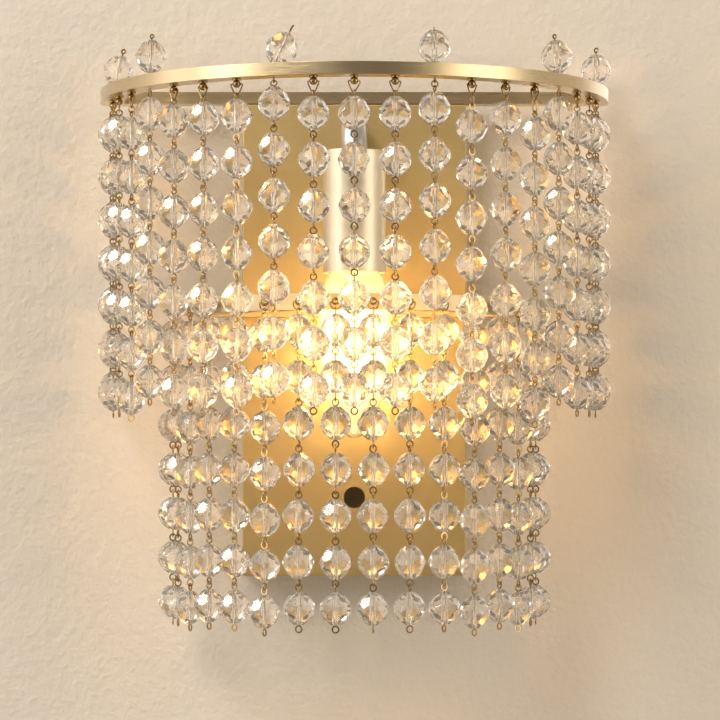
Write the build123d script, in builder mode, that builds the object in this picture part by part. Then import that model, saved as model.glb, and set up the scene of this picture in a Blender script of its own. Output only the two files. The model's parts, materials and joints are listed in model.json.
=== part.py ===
"""Crystal wall sconce.

A brushed-gold box canopy stands on the wall. Two D-shaped flat rings are screwed to it, a wide one on
its top and a narrow one on its front, and bead strands hang all round both. A short elbow arm from the
canopy carries a lamp cup, which points down and holds a candle bulb inside the curtain of beads.

Frame: millimetres, +Z up, +X right, the room is toward -Y. The wall is the plane y = 0 and the origin
is midway between the two wall screws, on the canopy's centre line.
"""

from math import atan, cos, degrees, radians, sin
import os

from build123d import *

os.makedirs("parts", exist_ok=True)

# Canopy and what fixes it to the wall
canopy_width = 114
canopy_height = 240
canopy_depth = 26
canopy_wall = 1.2
canopy_edge_bevel = 1.2
upper_hole_radius = 4
upper_hole_x = 42
upper_hole_below_top = 47
lower_hole_radius = 5.4
lower_hole_above_foot = 40
bracket_thickness = 1.5
bracket_strap_height = 25
bracket_tab_width = 36
bracket_tab_height = 112
bracket_flange_depth = 18
bracket_cable_hole_radius = 9
wall_screw_spacing = 60
wall_screw_hole_radius = 2.2
terminal_block_size = (28, 14, 12)
terminal_block_z = -42
earth_screw_z = 40

# Small round pieces are drawn with flats
round_sides = 20
bend_steps = 4

# Screws, all M4 with hexagon heads, their shanks drawn with six flats as well
screw_sides = 6
screw_radius = 2
screw_clearance = 0.15
screw_head_radius = 3.6
screw_head_height = 2.2
screw_grip = 4.5

# Rings: a flat bar bent to a half circle toward the room and closed by a straight bar at the back
ring_bar_width = 12
upper_ring_radius = 129
upper_ring_height = 6
lower_ring_radius = 89
lower_ring_height = 8
lower_ring_z = 15
lower_ring_side_length = 1
upper_corner_radius = 4
lower_corner_radius = 0.6
ring_screw_x = 40

# Beads, their wire links and the studs that they hang from
bead_diameter = 15.6
bead_height = 16
bead_cap_radius = 2.3
beads_in_strand = 7
link_half_width = 1.9
end_loop_height = 4
wire_thickness = 0.8
eye_size = 3.4
eye_hole_size = 1.6
eye_side_gap = 0.9
pin_thickness = 1.2
pin_eye_height = 2.4
pin_eye_hole_size = 1.2
pin_eye_gap = 0.6
pin_clearance = 0.1
pin_tip_height = 4
stud_collar_height = 0.8
stud_neck_length = 1.3

# Where the strands hang. Drops are how far each first bead's top lies below its pivot.
upper_strand_step = 9
upper_strand_last = 10
pinned_strands = (-10, -6, -2, 2, 6, 10)
upper_pitch = 21.7
upper_drop = 7.3
upper_longer_drops = {-7: 2.5, 3: 5, 5: 6}
pinned_drop = 2.8
pinned_longer_drops = {-10: 1.5, 2: 2.5, 10: 1.5}
finial_lifts = (3.5, 1.2, 0, 0, 1.2, 3.5)
lower_strand_count = 16
lower_end_angle = 84.1
lower_pitch = 22.2
lower_drop = 6
lower_longer_drops = {3: 1.5, 6: 2, 12: 2.5, 14: 2}

# Arm, lamp cup and lampholder
arm_below_top = 16
arm_reach = 75
arm_bend_radius = 13
arm_radius = 6.5
spigot_radius = 5
spigot_length = 9
spigot_clearance = 0.15
arm_nut_width = 14
arm_nut_height = 4
cup_radius = 15.5
cup_height = 60
cup_wall = 1.2
cup_edge_bevel = 0.6
holder_radius = 12
holder_height = 50
holder_bore_depth = 25
contact_thickness = 0.8

# Candle bulb
bulb_base_radius = 6.8
bulb_tip_radius = 3
bulb_tip_height = 1.5
bulb_running_gap = 0.4
glass_rings = ((8.5, 0), (14.6, 13), (17.5, 30), (17.3, 44), (14.8, 66), (10.6, 79), (5.5, 87), (1.5, 90))
glass_wall = 0.9
stem_radius = 1.2
stem_length = 62
stem_rings = ((5.5, 0), (4, 8), (stem_radius, 20), (stem_radius, stem_length))
filament_count = 4
filament_thickness = 1.2
filament_length = 38
filament_spread = 6.5
filament_gap = 0.2


def placed(shape, x, y, z, turn=0):
    """A copy of a solid, turned about the vertical and set at a place."""
    return Location((x, y, z), (0, 0, turn)) * shape


def group(label, solids):
    """Separate solids kept in one named piece."""
    return Compound(label=label, children=list(solids))


# ---------------------------------------------------------------- places worked out from the sizes
screw_hole_radius = screw_radius + screw_clearance
canopy_top = canopy_height / 2
upper_hole_z = canopy_top - upper_hole_below_top
lower_hole_z = lower_hole_above_foot - canopy_top
arm_z = canopy_top - arm_below_top
canopy_front = -canopy_depth
canopy_inner_front = canopy_front + canopy_wall
upper_ring_y = canopy_front + ring_bar_width / 2
upper_ring_top = canopy_top + upper_ring_height
upper_hang_radius = upper_ring_radius - ring_bar_width / 2
lower_ring_y = canopy_front - lower_ring_side_length
lower_hang_radius = lower_ring_radius + stud_neck_length + eye_size / 2
eye_drop = stud_collar_height + eye_size / 2
pin_hole_size = pin_thickness + 2 * pin_clearance
pin_eye_drop = pin_eye_gap + pin_eye_height / 2
arm_y = -arm_reach
cup_top = arm_z - arm_bend_radius
cup_ceiling = cup_top - cup_wall
cup_mouth = cup_top - cup_height
holder_mouth = cup_ceiling - holder_height
bulb_base_bottom = holder_mouth - bulb_running_gap


with BuildPart() as screw:
    with BuildSketch():
        RegularPolygon(screw_head_radius, screw_sides)
    extrude(amount=-screw_head_height)
    with BuildSketch():
        RegularPolygon(screw_radius, screw_sides)
    extrude(amount=canopy_wall + screw_grip)


# ---------------------------------------------------------------- canopy: a folded box, open at the wall
with BuildPart() as canopy:
    with BuildSketch(Plane.XZ):
        Rectangle(canopy_width, canopy_height)
    extrude(amount=canopy_depth)
    offset(amount=-canopy_wall, openings=canopy.faces().sort_by(Axis.Y)[-1])
    chamfer(canopy.faces().sort_by(Axis.Y)[0].outer_wire().edges(), canopy_edge_bevel)
    with BuildSketch(Plane.XZ.offset(canopy_depth)):
        with Locations((-upper_hole_x, upper_hole_z), (upper_hole_x, upper_hole_z)):
            Circle(upper_hole_radius)
        with Locations((0, lower_hole_z)):
            Circle(lower_hole_radius)
        with Locations((0, arm_z)):
            Circle(spigot_radius + spigot_clearance)
        with Locations((-ring_screw_x, lower_ring_z), (ring_screw_x, lower_ring_z)):
            RegularPolygon(screw_hole_radius, screw_sides)
    extrude(amount=-canopy_wall, mode=Mode.SUBTRACT)
    with BuildSketch(Plane.XY.offset(canopy_top)):
        with Locations((-ring_screw_x, upper_ring_y), (ring_screw_x, upper_ring_y)):
            RegularPolygon(screw_hole_radius, screw_sides)
    extrude(amount=-canopy_wall, mode=Mode.SUBTRACT)
    with BuildSketch(Plane.YZ):
        with Locations((-bracket_flange_depth / 2, 0)):
            RegularPolygon(screw_hole_radius, screw_sides, rotation=90)
    extrude(amount=canopy_width, both=True, mode=Mode.SUBTRACT)
canopy.part.label = "canopy"
export_step(canopy.part, "parts/canopy.step")

# ---------------------------------------------------------------- wall bracket with two side flanges
flange_x = canopy_width / 2 - canopy_wall
with BuildPart() as wall_bracket:
    with BuildSketch(Plane.XZ):
        Rectangle(2 * flange_x, bracket_strap_height)
        Rectangle(bracket_tab_width, bracket_tab_height)
        Circle(bracket_cable_hole_radius, mode=Mode.SUBTRACT)
        with GridLocations(wall_screw_spacing, 0, 2, 1):
            Circle(wall_screw_hole_radius, mode=Mode.SUBTRACT)
        with Locations((0, earth_screw_z)):
            RegularPolygon(screw_hole_radius, screw_sides, mode=Mode.SUBTRACT)
    extrude(amount=bracket_thickness)
    with BuildSketch(Plane.XZ):
        with Locations((-flange_x + bracket_thickness / 2, 0), (flange_x - bracket_thickness / 2, 0)):
            Rectangle(bracket_thickness, bracket_strap_height)
    extrude(amount=bracket_flange_depth)
    with BuildSketch(Plane.YZ):
        with Locations((-bracket_flange_depth / 2, 0)):
            RegularPolygon(screw_hole_radius, screw_sides, rotation=90)
    extrude(amount=canopy_width, both=True, mode=Mode.SUBTRACT)
wall_bracket.part.label = "wall_bracket"
export_step(wall_bracket.part, "parts/wall_bracket.step")

# ---------------------------------------------------------------- screws
side_screws = group("side_screws", [
    Location((-canopy_width / 2, -bracket_flange_depth / 2, 0), (0, 90, 0)) * screw.part,
    Location((canopy_width / 2, -bracket_flange_depth / 2, 0), (0, -90, 0)) * screw.part,
])
export_step(side_screws, "parts/side_screws.step")

ring_screws = group("ring_screws", [
    Location((x, upper_ring_y, canopy_top - canopy_wall)) * screw.part
    for x in (-ring_screw_x, ring_screw_x)
] + [
    Location((x, canopy_inner_front, lower_ring_z), (90, 0, 0)) * screw.part
    for x in (-ring_screw_x, ring_screw_x)
])
export_step(ring_screws, "parts/ring_screws.step")

with BuildPart() as earth_screw:
    with BuildSketch(Plane.XZ):
        with Locations((0, earth_screw_z)):
            RegularPolygon(screw_radius, screw_sides)
    extrude(amount=bracket_thickness)
    with BuildSketch(Plane.XZ.offset(bracket_thickness)):
        with Locations((0, earth_screw_z)):
            RegularPolygon(screw_head_radius, screw_sides)
    extrude(amount=screw_head_height)
earth_screw.part.label = "earth_screw"
export_step(earth_screw.part, "parts/earth_screw.step")

# ---------------------------------------------------------------- terminal block on the bracket's tab
block_width, block_depth, block_height = terminal_block_size
with BuildPart() as terminal_block:
    with BuildSketch(Plane.XZ.offset(bracket_thickness)):
        with Locations((0, terminal_block_z)):
            Rectangle(block_width, block_height)
    extrude(amount=block_depth)
    chamfer(terminal_block.faces().sort_by(Axis.Y)[0].edges(), block_height / 8)
terminal_block.part.label = "terminal_block"
export_step(terminal_block.part, "parts/terminal_block.step")


# ---------------------------------------------------------------- rings
def ring_plan(radius, centre_y, back_y, corner_radius):
    """The ring seen from above: a half circle of bar toward the room, a straight bar at the back."""
    inner_radius = radius - ring_bar_width
    with BuildSketch() as plan:
        with BuildLine():
            front = ThreePointArc((-radius, centre_y), (0, centre_y - radius), (radius, centre_y))
            Polyline(front @ 1, (radius, back_y), (-radius, back_y), front @ 0)
        make_face()
        fillet(plan.vertices().group_by(Axis.Y)[-1], corner_radius)
        with Locations((0, centre_y)):
            Circle(inner_radius, mode=Mode.SUBTRACT)
        with Locations((0, back_y)):
            Rectangle(2 * inner_radius + ring_bar_width, ring_bar_width, align=(Align.CENTER, Align.MAX))
    return plan.sketch


def hang_point(radius, centre_y, turn):
    """The plan position of a strand that hangs at an angle round a ring, 0 being the middle."""
    return radius * sin(radians(turn)), centre_y - radius * cos(radians(turn))


upper_numbers = range(-upper_strand_last, upper_strand_last + 1)
upper_plane = Plane.XY.offset(canopy_top)
with BuildPart() as upper_ring:
    add(upper_plane * ring_plan(
        upper_ring_radius, upper_ring_y, upper_ring_y + ring_bar_width / 2, upper_corner_radius))
    extrude(amount=upper_ring_height)
    with BuildSketch(upper_plane):
        for number in pinned_strands:
            with Locations(hang_point(upper_hang_radius, upper_ring_y, number * upper_strand_step)):
                Rectangle(pin_hole_size, pin_hole_size, rotation=number * upper_strand_step)
    extrude(amount=upper_ring_height, mode=Mode.SUBTRACT)
    with BuildSketch(upper_plane):
        with Locations((-ring_screw_x, upper_ring_y), (ring_screw_x, upper_ring_y)):
            RegularPolygon(screw_hole_radius, screw_sides)
    extrude(amount=screw_grip, mode=Mode.SUBTRACT)
upper_ring.part.label = "upper_ring"
export_step(upper_ring.part, "parts/upper_ring.step")

with BuildPart() as lower_ring:
    add(Plane.XY.offset(lower_ring_z - lower_ring_height / 2)
        * ring_plan(lower_ring_radius, lower_ring_y, canopy_front, lower_corner_radius))
    extrude(amount=lower_ring_height)
    with BuildSketch(Plane.XZ.offset(canopy_depth)):
        with Locations((-ring_screw_x, lower_ring_z), (ring_screw_x, lower_ring_z)):
            RegularPolygon(screw_hole_radius, screw_sides)
    extrude(amount=screw_grip, mode=Mode.SUBTRACT)
lower_ring.part.label = "lower_ring"
export_step(lower_ring.part, "parts/lower_ring.step")

# ---------------------------------------------------------------- studs, each with a cross hole
# An eye is a small block whose square hole runs along the ring, at the pivot of the strand it carries.
with BuildPart() as eye:
    Box(eye_size, eye_size, eye_size)
    Box(eye_size, eye_hole_size, eye_hole_size, mode=Mode.SUBTRACT)

with BuildPart() as upper_stud:
    add(eye.part)
    with BuildSketch(Plane.XY.offset(eye_size / 2)):
        Rectangle(eye_size, eye_size)
    extrude(amount=stud_collar_height)

with BuildPart() as lower_stud:
    add(eye.part)
    with BuildSketch(Plane.XZ.offset(-eye_size / 2)):
        Rectangle(eye_size, eye_size)
    extrude(amount=-stud_neck_length)

studded = [number for number in upper_numbers if number not in pinned_strands]
upper_pivots = {
    number: hang_point(upper_hang_radius, upper_ring_y, number * upper_strand_step)
    for number in upper_numbers
}
upper_studs = group("upper_studs", [
    placed(upper_stud.part, *upper_pivots[number], canopy_top - eye_drop, number * upper_strand_step)
    for number in studded
])
export_step(upper_studs, "parts/upper_studs.step")

lower_step = 2 * lower_end_angle / (lower_strand_count - 1)
lower_turns = [lower_step * place - lower_end_angle for place in range(lower_strand_count)]
lower_pivots = [hang_point(lower_hang_radius, lower_ring_y, turn) for turn in lower_turns]
lower_studs = group("lower_studs", [
    placed(lower_stud.part, *pivot, lower_ring_z, turn)
    for pivot, turn in zip(lower_pivots, lower_turns)
])
export_step(lower_studs, "parts/lower_studs.step")

# ---------------------------------------------------------------- beads
# Two three-sided pyramids, one turned by half a turn, meet in a three-sided cap and a six-sided girdle.
# The girdle's flats face the neighbouring strands.
girdle_radius = bead_diameter / 2
cap_taper = degrees(atan(2 * (girdle_radius - bead_cap_radius) / bead_height))
corner_taper = degrees(atan(2 * (girdle_radius - 2 * bead_cap_radius) / bead_height))
with BuildPart() as bead:
    with BuildSketch():
        RegularPolygon(girdle_radius, 3, major_radius=False)
    extrude(amount=bead_height / 2, taper=cap_taper)
    with BuildSketch():
        RegularPolygon(girdle_radius, 3, major_radius=False, rotation=180)
    extrude(amount=bead_height / 2, taper=corner_taper, mode=Mode.INTERSECT)
    mirror(about=Plane.XY)

# ---------------------------------------------------------------- finial pins and beads on the upper ring
pin_pivot_z = canopy_top - pin_eye_drop


def finial_pin(lift):
    """A pin whose eye hangs under the ring and whose shank goes up through ring and finial bead."""
    shank_length = pin_eye_drop + upper_ring_height + lift + bead_height + pin_tip_height
    with BuildPart() as pin:
        with BuildSketch(Plane.YZ):
            Rectangle(pin_eye_height, pin_eye_height)
            Rectangle(pin_eye_hole_size, pin_eye_hole_size, mode=Mode.SUBTRACT)
        extrude(amount=pin_thickness / 2, both=True)
        with BuildSketch(Plane.XY.offset(pin_eye_height / 2)):
            Rectangle(pin_thickness, pin_thickness)
        extrude(amount=shank_length - pin_eye_height / 2)
    return pin.part


with BuildPart() as finial_bead:
    add(bead.part)
    Box(pin_hole_size, pin_hole_size, bead_height, mode=Mode.SUBTRACT)

finial_pins = group("finial_pins", [
    placed(finial_pin(lift), *upper_pivots[number], pin_pivot_z, number * upper_strand_step)
    for number, lift in zip(pinned_strands, finial_lifts)
])
export_step(finial_pins, "parts/finial_pins.step")

finial_beads = group("finial_beads", [
    placed(finial_bead.part, *upper_pivots[number], upper_ring_top + lift + bead_height / 2,
           number * upper_strand_step)
    for number, lift in zip(pinned_strands, finial_lifts)
])
export_step(finial_beads, "parts/finial_beads.step")


# ---------------------------------------------------------------- strands
def bail(drop, eye_width, foot_narrowing):
    """A wire loop whose top bar lies in an eye's hole and whose foot rests on the first bead."""
    half_wire = wire_thickness / 2
    top = eye_width / 2 + eye_side_gap
    foot = top - foot_narrowing * (drop - wire_thickness - half_wire)
    with BuildPart() as loop:
        with BuildSketch(Plane.XZ):
            with BuildLine():
                Polyline(
                    (-top - wire_thickness, half_wire), (top + wire_thickness, half_wire),
                    (foot + wire_thickness, -drop), (-foot - wire_thickness, -drop), close=True,
                )
            make_face()
            with BuildLine():
                Polyline(
                    (-top, -half_wire), (top, -half_wire),
                    (foot, wire_thickness - drop), (-foot, wire_thickness - drop), close=True,
                )
            make_face(mode=Mode.SUBTRACT)
        extrude(amount=half_wire, both=True)
    return loop.part


def wire_link(length):
    """Two linked loops as one wedge: wide across the ring at its top, wide along the radius at its foot."""
    with BuildPart() as link:
        with BuildSketch(Plane.XZ):
            Polygon((-link_half_width, 0), (link_half_width, 0), (0, -length), align=None)
        extrude(amount=link_half_width, both=True)
        with BuildSketch(Plane.YZ):
            Polygon((0, 0), (-link_half_width, -length), (link_half_width, -length), align=None)
        extrude(amount=link_half_width, both=True, mode=Mode.INTERSECT)
    return link.part


def strand(label, pivot_x, pivot_y, pivot_z, turn, top_loop, drop, longer, pitch):
    """A bail, seven beads with a link in each gap, and a loop under the last bead."""
    first_top = -drop - longer
    gap_link = wire_link(pitch - bead_height)
    pieces = [top_loop]
    if longer:
        pieces.append(Location((0, 0, -drop)) * wire_link(longer))
    for place in range(beads_in_strand):
        bead_top = first_top - place * pitch
        pieces.append(Location((0, 0, bead_top - bead_height / 2)) * bead.part)
        last = place == beads_in_strand - 1
        below = wire_link(end_loop_height) if last else gap_link
        pieces.append(Location((0, 0, bead_top - bead_height)) * below)
    hung = Location((pivot_x, pivot_y, pivot_z), (0, 0, turn))
    return group(label, [hung * piece for piece in pieces])


upper_bail = bail(upper_drop, eye_size, 1 / 3)
pinned_bail = bail(pinned_drop, pin_thickness, 0)
for place, number in enumerate(upper_numbers, start=1):
    pinned = number in pinned_strands
    name = f"upper_strand_{place:02d}"
    beads = strand(
        name,
        *upper_pivots[number],
        pin_pivot_z if pinned else canopy_top - eye_drop,
        number * upper_strand_step,
        pinned_bail if pinned else upper_bail,
        pinned_drop if pinned else upper_drop,
        (pinned_longer_drops if pinned else upper_longer_drops).get(number, 0),
        upper_pitch,
    )
    export_step(beads, f"parts/{name}.step")

lower_bail = bail(lower_drop, eye_size, 1 / 3)
for place, turn in enumerate(lower_turns, start=1):
    name = f"lower_strand_{place:02d}"
    beads = strand(
        name, *lower_pivots[place - 1], lower_ring_z, turn, lower_bail, lower_drop,
        lower_longer_drops.get(place, 0), lower_pitch,
    )
    export_step(beads, f"parts/{name}.step")

# ---------------------------------------------------------------- arm with a threaded spigot at each end
# The bend is drawn with short straight runs.
bend_angles = [radians(90 * (step + 0.5) / bend_steps) for step in range(bend_steps)]
bend_corner_radius = arm_bend_radius / cos(radians(45 / bend_steps))
with BuildPart() as socket_arm:
    with BuildLine() as route:
        Polyline(
            (0, canopy_front, arm_z),
            *[(0, arm_y + arm_bend_radius - bend_corner_radius * sin(angle),
               cup_top + bend_corner_radius * cos(angle)) for angle in bend_angles],
            (0, arm_y, cup_top),
        )
    with BuildSketch(Plane.XZ.offset(canopy_depth)):
        with Locations((0, arm_z)):
            RegularPolygon(arm_radius, round_sides)
    sweep(path=route.line, transition=Transition.RIGHT)
    with BuildSketch(Plane.XZ.offset(canopy_depth)):
        with Locations((0, arm_z)):
            RegularPolygon(spigot_radius, round_sides)
    extrude(amount=-spigot_length)
    with BuildSketch(Plane.XY.offset(cup_top)):
        with Locations((0, arm_y)):
            RegularPolygon(spigot_radius, round_sides)
    extrude(amount=-spigot_length)
socket_arm.part.label = "socket_arm"
export_step(socket_arm.part, "parts/socket_arm.step")

with BuildPart() as arm_nut:
    with BuildSketch(Plane.XZ.offset(-canopy_inner_front)):
        with Locations((0, arm_z)):
            RegularPolygon(arm_nut_width / 2, 6, major_radius=False)
            RegularPolygon(spigot_radius + spigot_clearance, round_sides, mode=Mode.SUBTRACT)
    extrude(amount=-arm_nut_height)
arm_nut.part.label = "arm_nut"
export_step(arm_nut.part, "parts/arm_nut.step")

# ---------------------------------------------------------------- lamp cup and lampholder
with BuildPart() as socket_cup:
    with BuildSketch(Plane.XY.offset(cup_top)):
        with Locations((0, arm_y)):
            Circle(cup_radius)
    extrude(amount=-cup_height)
    offset(amount=-cup_wall, openings=socket_cup.faces().sort_by(Axis.Z)[0])
    chamfer(socket_cup.faces().sort_by(Axis.Z)[-1].outer_wire().edges(), cup_edge_bevel)
    with BuildSketch(Plane.XY.offset(cup_top)):
        with Locations((0, arm_y)):
            Circle(spigot_radius + spigot_clearance)
    extrude(amount=-cup_wall, mode=Mode.SUBTRACT)
socket_cup.part.label = "socket_cup"
export_step(socket_cup.part, "parts/socket_cup.step")

with BuildPart() as lampholder:
    with BuildSketch(Plane.XY.offset(holder_mouth)):
        with Locations((0, arm_y)):
            RegularPolygon(holder_radius, round_sides)
    extrude(amount=holder_height)
    with BuildSketch(Plane.XY.offset(holder_mouth)):
        with Locations((0, arm_y)):
            RegularPolygon(bulb_base_radius + bulb_running_gap, round_sides)
    extrude(amount=holder_bore_depth, mode=Mode.SUBTRACT)
    with BuildSketch(Plane.XY.offset(cup_ceiling)):
        with Locations((0, arm_y)):
            RegularPolygon(spigot_radius + spigot_clearance, round_sides)
    extrude(amount=-spigot_length, mode=Mode.SUBTRACT)
lampholder.part.label = "lampholder"
export_step(lampholder.part, "parts/lampholder.step")

with BuildPart() as centre_contact:
    with BuildSketch(Plane.XY.offset(holder_mouth + holder_bore_depth)):
        with Locations((0, arm_y)):
            Rectangle(bulb_base_radius, bulb_tip_radius)
    extrude(amount=-contact_thickness)
centre_contact.part.label = "centre_contact"
export_step(centre_contact.part, "parts/centre_contact.step")

# ---------------------------------------------------------------- candle bulb
bulb_tip_z = holder_mouth + holder_bore_depth - contact_thickness - bulb_running_gap
with BuildPart() as bulb_base:
    with BuildSketch(Plane.XY.offset(bulb_base_bottom)):
        with Locations((0, arm_y)):
            RegularPolygon(bulb_base_radius, round_sides)
    extrude(amount=bulb_tip_z - bulb_tip_height - bulb_base_bottom)
    with BuildSketch(Plane.XY.offset(bulb_tip_z)):
        with Locations((0, arm_y)):
            RegularPolygon(bulb_tip_radius, round_sides)
    extrude(amount=-bulb_tip_height)
bulb_base.part.label = "bulb_base"
export_step(bulb_base.part, "parts/bulb_base.step")


def hanging_form(rings, inset=0):
    """A solid of flats below the bulb's base, from ring to ring, each ring a radius and a drop."""
    def corners(radius, drop):
        turns = [radians(360 * side / round_sides) for side in range(round_sides)]
        spread = radius - inset
        height = bulb_base_bottom - drop
        return [(spread * cos(turn), arm_y + spread * sin(turn), height) for turn in turns]

    outlines = [corners(radius, drop) for radius, drop in rings]
    faces = [Face(Wire.make_polygon(outlines[0])), Face(Wire.make_polygon(outlines[-1]))]
    for upper, lower in zip(outlines, outlines[1:]):
        for side in range(round_sides):
            quad = [upper[side - 1], upper[side], lower[side], lower[side - 1]]
            faces.append(Face(Wire.make_polygon(quad)))
    return Solid(Shell(faces))


glass_inner_rings = glass_rings[:-1] + ((glass_rings[-1][0] + glass_wall, glass_rings[-1][1] - glass_wall),)
with BuildPart() as bulb_glass:
    add(hanging_form(glass_rings))
    add(hanging_form(glass_inner_rings, glass_wall), mode=Mode.SUBTRACT)
bulb_glass.part.label = "bulb_glass"
export_step(bulb_glass.part, "parts/bulb_glass.step")

with BuildPart() as bulb_stem:
    add(hanging_form(stem_rings))
bulb_stem.part.label = "bulb_stem"
export_step(bulb_stem.part, "parts/bulb_stem.step")

# Each filament leans out from the stem's foot, so the four of them open upward like a cup.
filament_foot_radius = stem_radius + filament_gap + filament_thickness / 2
filament_lean = degrees(atan((filament_spread - filament_foot_radius) / filament_length))
filament_middle_radius = (filament_spread + filament_foot_radius) / 2
filament_middle_z = bulb_base_bottom - stem_length + filament_length / 2
with BuildPart() as filament:
    Box(filament_thickness, filament_thickness, filament_length)
bulb_filaments = group("bulb_filaments", [
    Location((0, arm_y, filament_middle_z), (0, 0, (turn + 0.5) * 360 / filament_count))
    * Location((filament_middle_radius, 0, 0), (0, filament_lean, 0)) * filament.part
    for turn in range(filament_count)
])
export_step(bulb_filaments, "parts/bulb_filaments.step")
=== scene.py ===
# %% [markdown]
# # A crystal wall sconce
# The light hangs on a pale wall. A brushed gold canopy carries two half-round rings, strands of cut
# glass beads hang round both, and a candle bulb glows behind them. The measured solids come in first.
# They say where everything is: each piece below reads its box or its hinge, and only small details are
# typed. What shows is then modelled finer, and the hidden hardware keeps its own solids.

# %% Load the measured frame
import json
import math
import random

import bpy
from mathutils import Matrix, Vector


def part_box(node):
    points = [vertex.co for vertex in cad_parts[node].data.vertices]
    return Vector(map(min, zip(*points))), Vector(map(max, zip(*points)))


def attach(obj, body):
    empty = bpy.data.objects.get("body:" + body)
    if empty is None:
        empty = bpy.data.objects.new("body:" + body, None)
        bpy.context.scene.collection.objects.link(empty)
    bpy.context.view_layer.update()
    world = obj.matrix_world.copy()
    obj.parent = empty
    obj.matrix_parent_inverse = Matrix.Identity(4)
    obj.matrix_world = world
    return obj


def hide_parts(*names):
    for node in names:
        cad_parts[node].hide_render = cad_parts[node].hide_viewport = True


MM = 0.001
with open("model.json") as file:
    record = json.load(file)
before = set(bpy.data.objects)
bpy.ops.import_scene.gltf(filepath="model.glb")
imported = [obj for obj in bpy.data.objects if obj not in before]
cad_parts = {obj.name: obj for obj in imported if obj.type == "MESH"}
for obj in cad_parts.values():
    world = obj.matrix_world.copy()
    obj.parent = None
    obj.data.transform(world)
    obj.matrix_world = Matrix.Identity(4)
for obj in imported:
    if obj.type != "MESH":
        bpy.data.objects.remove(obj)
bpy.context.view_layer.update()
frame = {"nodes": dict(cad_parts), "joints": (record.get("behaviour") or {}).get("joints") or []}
joints = {joint["name"]: joint for joint in frame["joints"]}
print("nodes in the frame:", len(frame["nodes"]), "joints:", len(joints))

# %% [markdown]
# ## A few tools for the bench
# An operator works on whatever is selected, so every step starts from one object alone. These helpers
# are the moves that are used again and again: pick one object, pick faces or edges by where they are,
# apply a modifier, drill a hole, and settle a finished piece so that its place lies in its mesh.

# %% Pick one object, faces or edges
def only(piece):
    """Selects one object and makes it the active one."""
    if bpy.context.object and bpy.context.object.mode != "OBJECT":
        bpy.ops.object.mode_set(mode="OBJECT")
    bpy.ops.object.select_all(action="DESELECT")
    piece.select_set(True)
    bpy.context.view_layer.objects.active = piece


def edit_all(piece):
    """Enters edit mode with the whole piece selected."""
    only(piece)
    bpy.ops.object.mode_set(mode="EDIT")
    bpy.ops.mesh.select_all(action="SELECT")


def pick(piece, kind, wanted):
    """Enters edit mode with the faces or edges selected that pass a test on their middle and direction."""
    only(piece)
    bpy.ops.object.mode_set(mode="EDIT")
    bpy.ops.mesh.select_mode(type=kind)
    bpy.ops.mesh.select_all(action="DESELECT")
    bpy.ops.object.mode_set(mode="OBJECT")
    mesh = piece.data
    if kind == "FACE":
        for face in mesh.polygons:
            face.select = bool(wanted(face.center, face.normal))
    else:
        for edge in mesh.edges:
            start, end = (mesh.vertices[i].co for i in edge.vertices)
            edge.select = bool(wanted((start + end) / 2, (end - start).normalized()))
    bpy.ops.object.mode_set(mode="EDIT")


def apply_modifier(piece, kind, **settings):
    """Adds a modifier with its settings and applies it at once."""
    modifier = piece.modifiers.new(kind.title(), kind)
    for name, value in settings.items():
        setattr(modifier, name, value)
    only(piece)
    bpy.ops.object.modifier_apply(modifier=modifier.name)


def drill_through(piece, sides, radius, depth, place=(0, 0, 0), turn=(0, 0, 0), bore_finish=None):
    """Drills a round hole through a piece. Its wall can have a finish of its own."""
    bpy.ops.mesh.primitive_cylinder_add(
        vertices=sides, radius=radius, depth=depth, location=place, rotation=turn
    )
    drill = bpy.context.object
    if bore_finish:
        drill.data.materials.append(bore_finish)
    apply_modifier(
        piece, "BOOLEAN", operation="DIFFERENCE", object=drill, solver="EXACT",
        material_mode="TRANSFER" if bore_finish else "INDEX",
    )
    bpy.data.objects.remove(drill)


# %% Settle a finished piece
seam = 0.002 * MM
fully_in = {"location": True, "rotation": True, "scale": True}


def settle(piece, name, smooth_angle=40):
    """Puts a piece's place into its mesh, closes its seams, points its faces outward and names it."""
    only(piece)
    bpy.ops.object.transform_apply(**fully_in)
    edit_all(piece)
    bpy.ops.mesh.remove_doubles(threshold=seam)
    bpy.ops.mesh.normals_make_consistent(inside=False)
    bpy.ops.object.mode_set(mode="OBJECT")
    if smooth_angle:
        bpy.ops.object.shade_smooth_by_angle(angle=math.radians(smooth_angle))
        apply_modifier(piece, "WEIGHTED_NORMAL", keep_sharp=True)
    piece.name = piece.data.name = name
    return piece


def fit_out(piece, body, slot, finish, *replaced):
    """Gives a piece its material, the body that it rides on and the solids that it stands for."""
    if finish:
        piece.data.materials.clear()
        piece.data.materials.append(finish)
    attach(piece, body)
    if replaced:
        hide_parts(*replaced)
    print(f"{piece.name}: {len(piece.data.polygons)} faces on {body}")


def set_down(name, data):
    """Puts new data into the scene as an object."""
    thing = bpy.data.objects.new(name, data)
    bpy.context.collection.objects.link(thing)
    return thing


def copy_of(model, place):
    """A copy of a model with its own mesh, set by a matrix."""
    mesh = model.data.copy()
    mesh.transform(place)
    return set_down(model.name, mesh)


def joined(pieces, name):
    """Several objects made one."""
    only(pieces[0])
    for piece in pieces:
        piece.select_set(True)
    bpy.ops.object.join()
    merged = bpy.context.object
    merged.name = merged.data.name = name
    return merged


# %% [markdown]
# ## The lathe and the wire bench
# Much of a lamp is turned: cup, holder, glass and cap are each a profile swept round an axis. In Blender
# that is a chain of edges and the spin operator. Wire parts are curves with a round bevel, made into
# meshes once they are bent to shape.

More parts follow.
